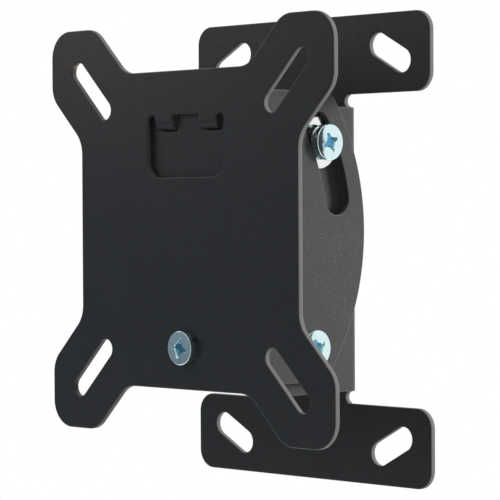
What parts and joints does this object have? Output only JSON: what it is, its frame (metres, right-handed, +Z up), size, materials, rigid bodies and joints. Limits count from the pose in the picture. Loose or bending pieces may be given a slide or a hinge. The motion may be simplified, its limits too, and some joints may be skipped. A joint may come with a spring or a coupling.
{
  "type": "tilting screen wall mount",
  "caption": "Low-profile wall mount of folded black sheet steel: a cross-shaped slotted screen plate hooks onto a channel that tilts in arc slots on a wall bracket.",
  "frame": {"origin": "middle of the wall bracket's back face, in the plane of the wall", "axes": "+Y into the wall, so the screen faces -Y; +X right as seen from the screen side; +Z up"},
  "size_m": [0.1264, 0.0585, 0.1464],
  "materials": {
    "black_coat": "satin, finely textured powder coat",
    "zinc": "bright blue zinc plating",
    "black_plastic": "satin moulded acetal"
  },
  "bodies": {
    "wall": {"wall_bracket": "black_coat", "guide_screw_right": "zinc", "guide_screw_left": "zinc", "guide_lock_washer_right": "zinc", "guide_lock_washer_left": "zinc", "guide_bush_right": "black_plastic", "guide_bush_left": "black_plastic", "guide_spacer_right": "zinc", "guide_spacer_left": "zinc", "guide_nut_right": "zinc", "guide_nut_left": "zinc"},
    "tilt": {"tilt_bracket": "black_coat", "vesa_plate": "black_coat", "plate_screw": "zinc", "plate_lock_washer": "zinc", "plate_nut": "zinc", "clamp_screw_right": "zinc", "clamp_screw_left": "zinc", "clamp_lock_washer_right": "zinc", "clamp_lock_washer_left": "zinc", "clamp_spacer_right": "zinc", "clamp_spacer_left": "zinc", "clamp_washer_right": "zinc", "clamp_washer_left": "zinc", "clamp_nut_right": "zinc", "clamp_nut_left": "zinc"}
  },
  "joints": [
    {"name": "tilt", "type": "hinge", "parent": "wall", "child": "tilt", "pos_m": [0, -0.0709, 0.0061], "axis": [1, 0, 0], "range_deg": [-5, 18]}
  ]
}
